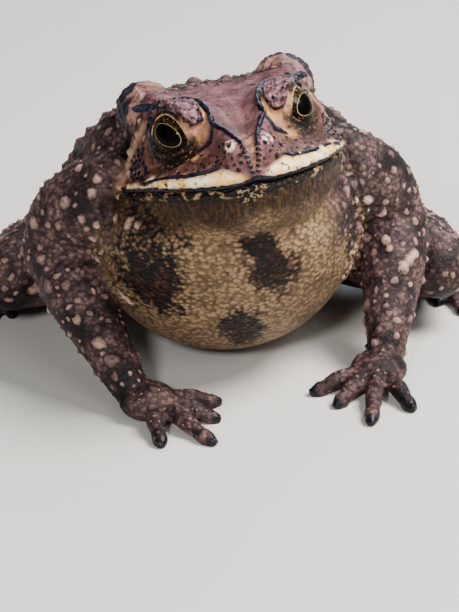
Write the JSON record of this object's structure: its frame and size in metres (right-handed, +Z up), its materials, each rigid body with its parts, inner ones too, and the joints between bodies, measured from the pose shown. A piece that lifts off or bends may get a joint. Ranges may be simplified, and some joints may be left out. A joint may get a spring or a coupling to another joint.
{
  "type": "asian common toad",
  "caption": "Life-size museum model of an asian common toad sitting upright, with bony head crests, oval parotoid glands, a blunt wide head and a warty back.",
  "frame": {"origin": "middle of the footprint, on the floor under the toad", "axes": "+Z up, the toad faces -Y, its left side is +X"},
  "size_m": [0.1186, 0.0848, 0.0515],
  "materials": {
    "skin": "cast resin painted as warty brown toad skin, satin",
    "throat": "cast resin painted as pale granular throat skin, satin",
    "gland": "cast resin painted as warty gland skin, satin",
    "eye": "polished, dark iris with gold flecks round a black pupil"
  },
  "bodies": {
    "root": {"head": "skin", "lower_jaw": "throat", "torso": "skin", "eye_left": "eye", "eye_right": "eye", "parotoid_left": "gland", "parotoid_right": "gland", "upper_arm_left": "skin", "upper_arm_right": "skin", "forearm_left": "skin", "forearm_right": "skin", "hand_left": "skin", "hand_right": "skin", "thigh_left": "skin", "thigh_right": "skin", "shank_left": "skin", "shank_right": "skin", "foot_left": "skin", "foot_right": "skin"}
  },
  "joints": []
}
